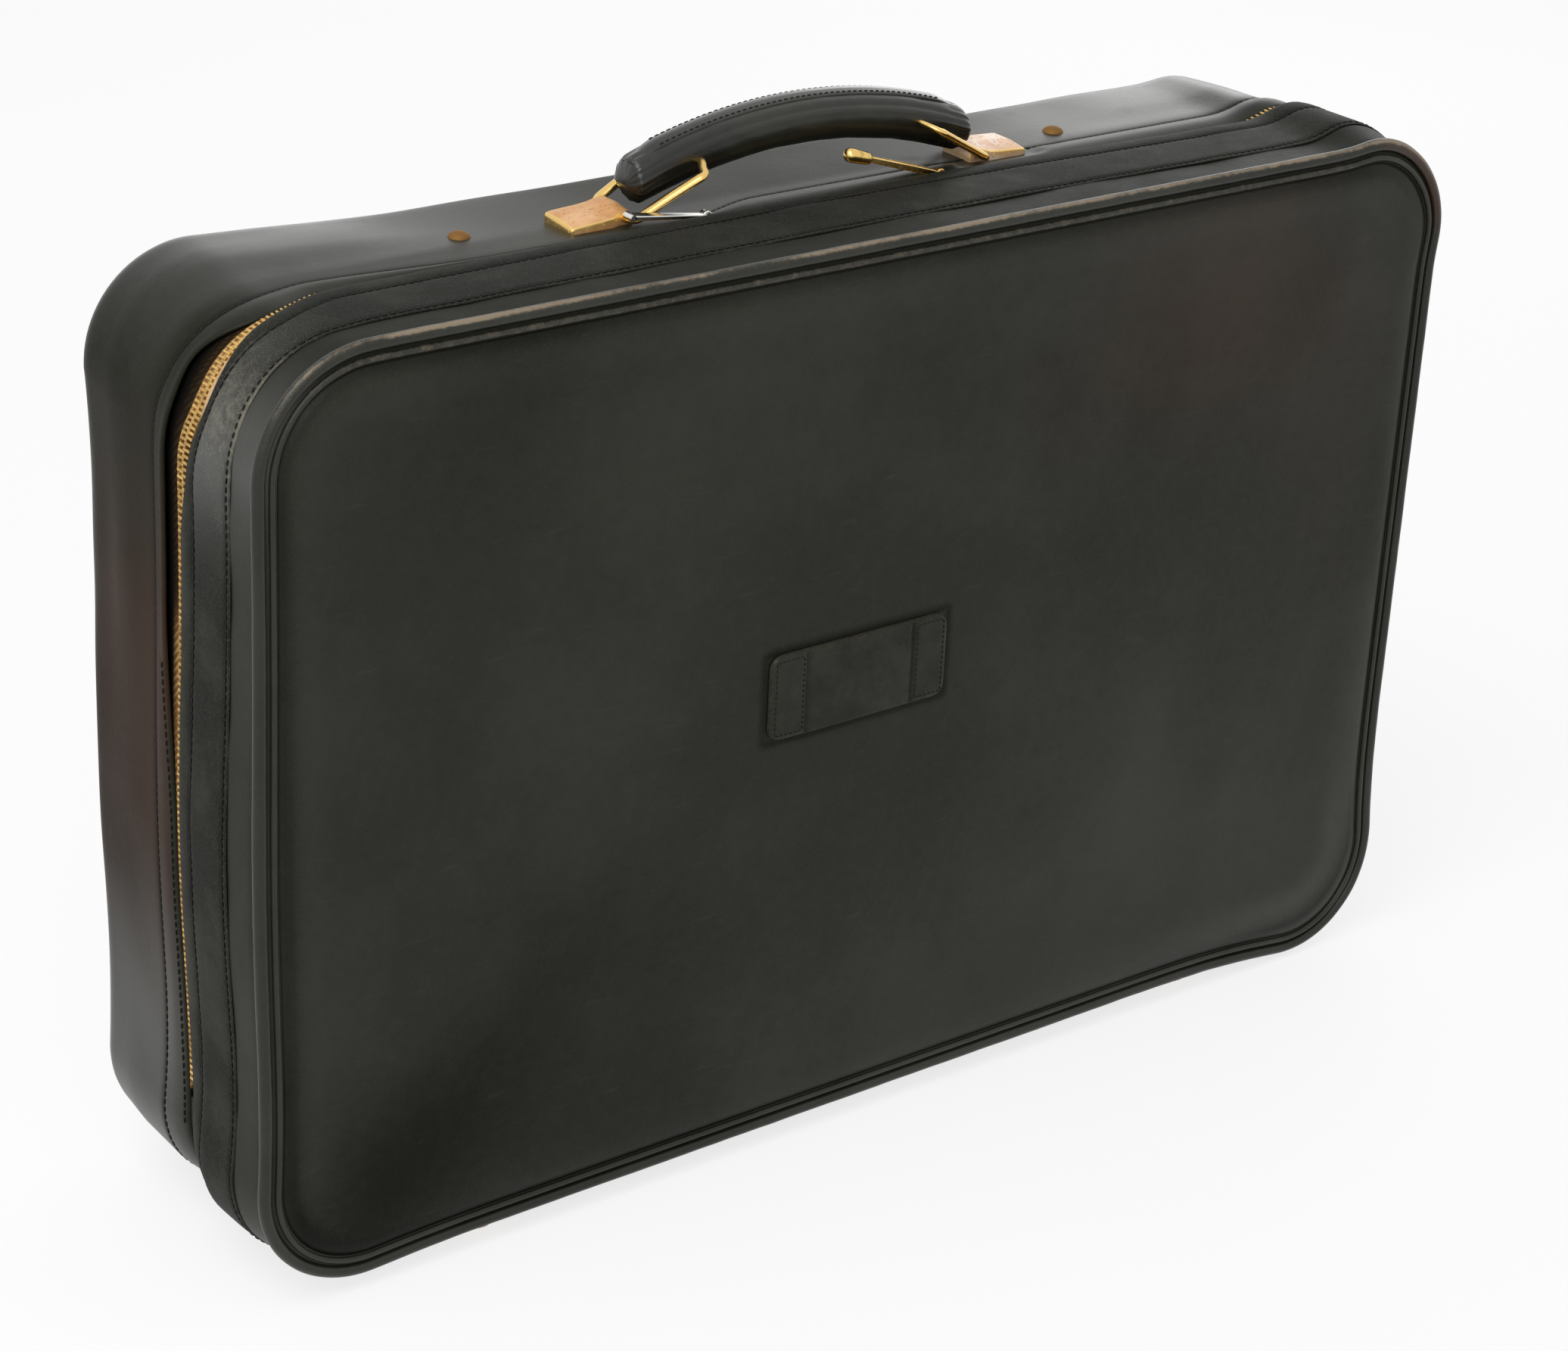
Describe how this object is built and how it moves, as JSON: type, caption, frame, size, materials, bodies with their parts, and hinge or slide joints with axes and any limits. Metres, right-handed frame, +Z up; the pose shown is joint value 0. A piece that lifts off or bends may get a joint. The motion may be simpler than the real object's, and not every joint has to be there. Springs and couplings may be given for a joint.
{
  "type": "suitcase",
  "caption": "Black leather suitcase with a lid hinged along the bottom, a zip round its rim, domed feet, and an arched handle on brass rings.",
  "frame": {"origin": "on the floor under the middle of the case: centre of the bounding box seen from above, at the height of the feet's lowest points", "axes": "+X along the case's width to the right seen from the lid, +Y from the lid's front face to the body's back panel, +Z up to the handle"},
  "size_m": [0.7, 0.171, 0.5119],
  "materials": {
    "case_leather": "satin, fine grain",
    "binding_leather": "satin, scuffed",
    "piping_leather": "satin, worn through on top",
    "grip_leather": "polished by use",
    "brass": "polished, worn",
    "steel": "nickel-plated, worn",
    "tape": "woven cotton",
    "board": "bare plywood",
    "lining": "woven cotton",
    "padding": "felt"
  },
  "bodies": {
    "case_body": {"body_rails": "board", "body_corners": "board", "back_board": "board", "body_wall": "case_leather", "back_panel": "case_leather", "body_zip_tape": "tape", "body_zip_teeth": "brass", "body_zip_stops": "brass", "body_lining": "lining", "hinge_strip": "case_leather", "packing_straps": "binding_leather", "strap_buckles": "brass", "backing_plate": "steel", "base_rivets": "brass", "stud_rivets": "brass", "left_handle_base": "brass", "right_handle_base": "brass", "body_feet": "brass"},
    "lid": {"lid_rails": "board", "lid_corners": "board", "front_board": "board", "front_padding": "padding", "front_panel": "case_leather", "name_patch": "binding_leather", "lid_wall": "case_leather", "lid_binding": "binding_leather", "outer_piping": "piping_leather", "inner_piping": "piping_leather", "lid_zip_tape": "tape", "lid_zip_teeth": "brass", "lid_zip_stops": "brass", "lid_lining": "lining", "lid_pocket": "lining", "lid_feet": "brass"},
    "left_slider": {"left_slider": "steel"},
    "right_slider": {"right_slider": "brass"},
    "left_pull": {"left_pull": "steel"},
    "right_pull": {"right_pull": "brass"},
    "left_ring": {"left_ring": "brass"},
    "right_ring": {"right_ring": "brass"},
    "grip": {"grip": "grip_leather", "grip_core": "board", "grip_strip": "grip_leather"}
  },
  "joints": [
    {"name": "lid_hinge", "type": "hinge", "parent": "case_body", "child": "lid", "pos_m": [0, -0.0075, 0.0145], "axis": [1, 0, 0], "range_deg": [0, 135], "deforming": ["hinge_strip"]},
    {"name": "left_slide", "type": "slide", "parent": "case_body", "child": "left_slider", "axis": [1, 0, 0], "range_m": [-0.19, 0.02]},
    {"name": "right_slide", "type": "slide", "parent": "case_body", "child": "right_slider", "axis": [1, 0, 0], "range_m": [-0.02, 0.18]},
    {"name": "left_pull_hinge", "type": "hinge", "parent": "left_slider", "child": "left_pull", "pos_m": [-0.066, -0.0075, 0.4686], "axis": [0, 1, 0], "range_deg": [0, 160]},
    {"name": "right_pull_hinge", "type": "hinge", "parent": "right_slider", "child": "right_pull", "pos_m": [0.074, -0.0075, 0.4686], "axis": [0, 1, 0], "range_deg": [0, 145]},
    {"name": "grip_lift", "type": "slide", "parent": "case_body", "child": "grip", "axis": [0, 0, 1], "range_m": [0, 0.006]},
    {"name": "left_ring_hinge", "type": "hinge", "parent": "case_body", "child": "left_ring", "pos_m": [-0.1005, 0.02, 0.469], "axis": [0, -1, 0], "range_deg": [0, 9.2]},
    {"name": "right_ring_hinge", "type": "hinge", "parent": "case_body", "child": "right_ring", "pos_m": [0.1105, 0.02, 0.469], "axis": [0, 1, 0], "range_deg": [0, 9.2]}
  ],
  "couplings": [
    {"joint": "left_ring_hinge", "follows": "grip_lift", "rad_per_m": 26.7},
    {"joint": "right_ring_hinge", "follows": "grip_lift", "rad_per_m": 26.7}
  ]
}
